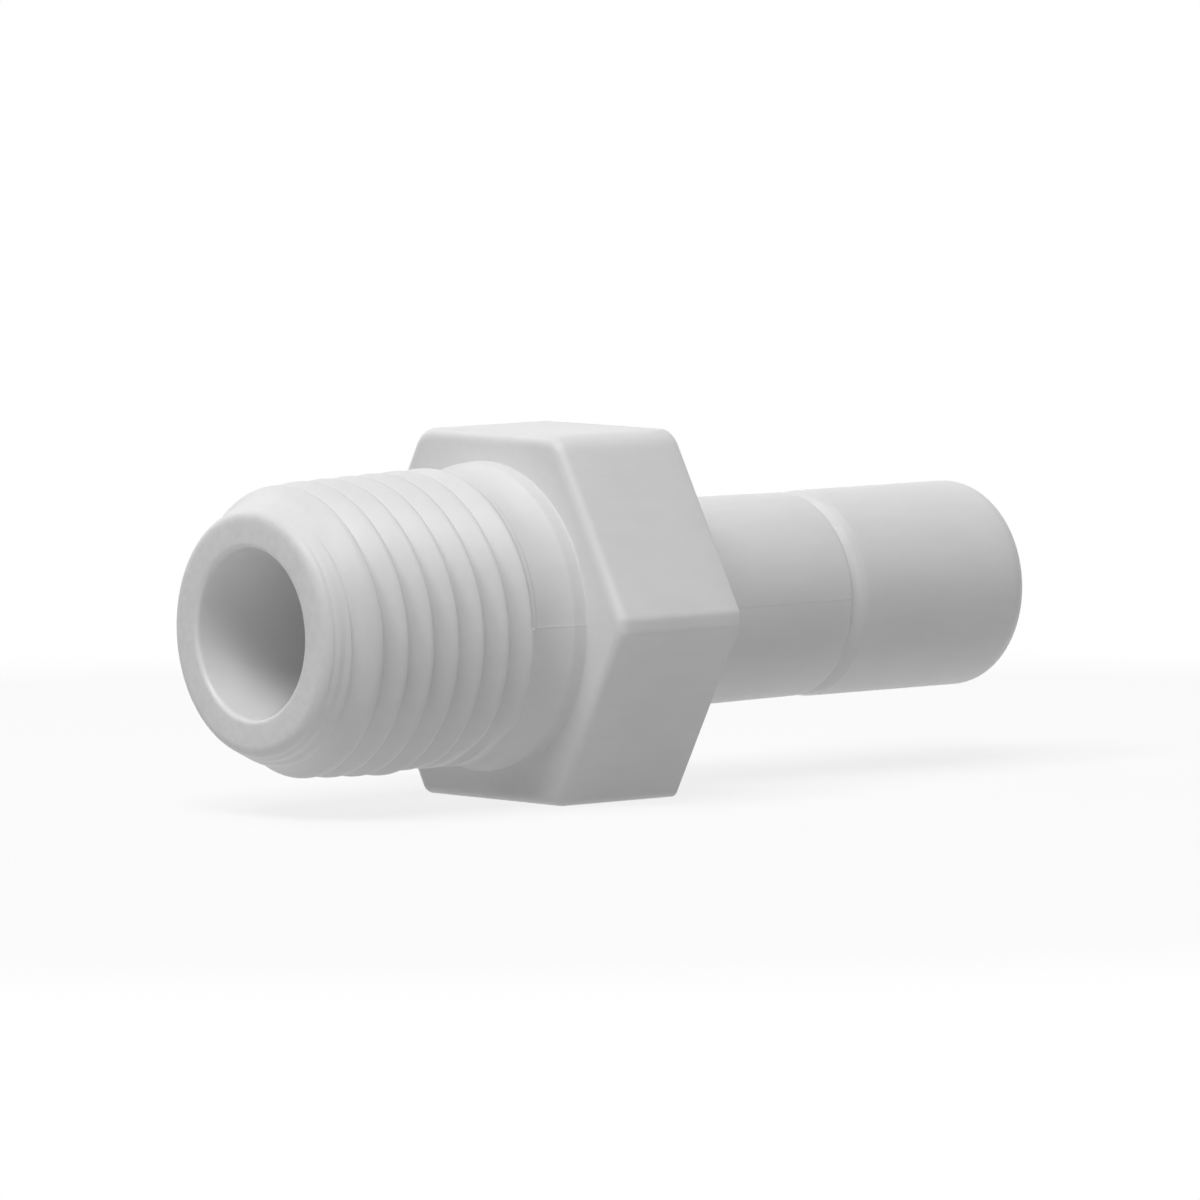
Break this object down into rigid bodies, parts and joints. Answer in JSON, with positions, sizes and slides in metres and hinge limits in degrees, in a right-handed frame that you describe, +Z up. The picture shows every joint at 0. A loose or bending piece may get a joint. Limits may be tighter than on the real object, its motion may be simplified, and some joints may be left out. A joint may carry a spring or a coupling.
{
  "type": "male thread adapter",
  "caption": "White moulded male taper-thread adapter: a threaded nose, a wrench hexagon and a plain stem that a push-fit tube connector takes.",
  "frame": {"origin": "on the flow axis, in the plane of the hexagon's thread-side face", "axes": "+X along the flow axis towards the stem's free end, the thread points to -X; +Z up, at right angles to two of the hexagon's flats; +Y towards one of the hexagon's corners"},
  "size_m": [0.0427, 0.019, 0.0168],
  "materials": {
    "white_plastic": "satin"
  },
  "bodies": {
    "root": {"adapter_body": "white_plastic"}
  },
  "joints": []
}
